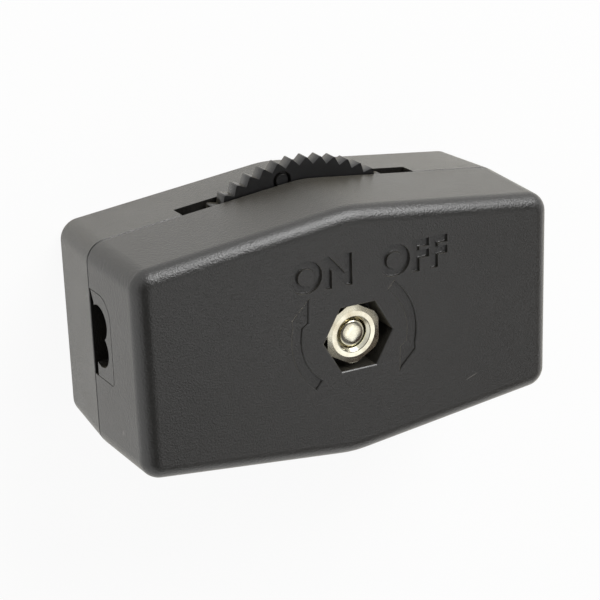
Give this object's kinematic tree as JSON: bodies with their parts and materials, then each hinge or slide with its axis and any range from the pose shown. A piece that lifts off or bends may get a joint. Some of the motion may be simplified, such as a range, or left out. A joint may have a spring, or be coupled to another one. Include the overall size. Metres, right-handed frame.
{
  "type": "inline cord switch",
  "caption": "Inline cord switch: two moulded covers clamped round a toothed thumbwheel that turns to switch a flat two-core lamp cord.",
  "frame": {"origin": "on the outer face of the rear cover, at the axis of the clamp screw and thumbwheel", "axes": "+X along the cord, +Y across the switch towards the side where the inlets lie, +Z out of the front face along the screw"},
  "size_m": [0.0448, 0.0294, 0.0186],
  "materials": {
    "cover_plastic": "satin, fine moulded grain",
    "wheel_plastic": "satin",
    "contact_brass": "stamped, bright",
    "nickel_plated_steel": "nickel plated, bright"
  },
  "bodies": {
    "housing": {"front_cover": "cover_plastic", "rear_cover": "cover_plastic", "left_contact": "contact_brass", "right_contact": "contact_brass", "clamp_screw": "nickel_plated_steel", "hex_nut": "nickel_plated_steel"},
    "wheel": {"thumbwheel": "wheel_plastic", "bridge_contact": "contact_brass"}
  },
  "joints": [
    {"name": "wheel_turn", "type": "hinge", "parent": "housing", "child": "wheel", "pos_m": [0, 0, 0.0073], "axis": [0, 0, -1], "continuous": true}
  ]
}
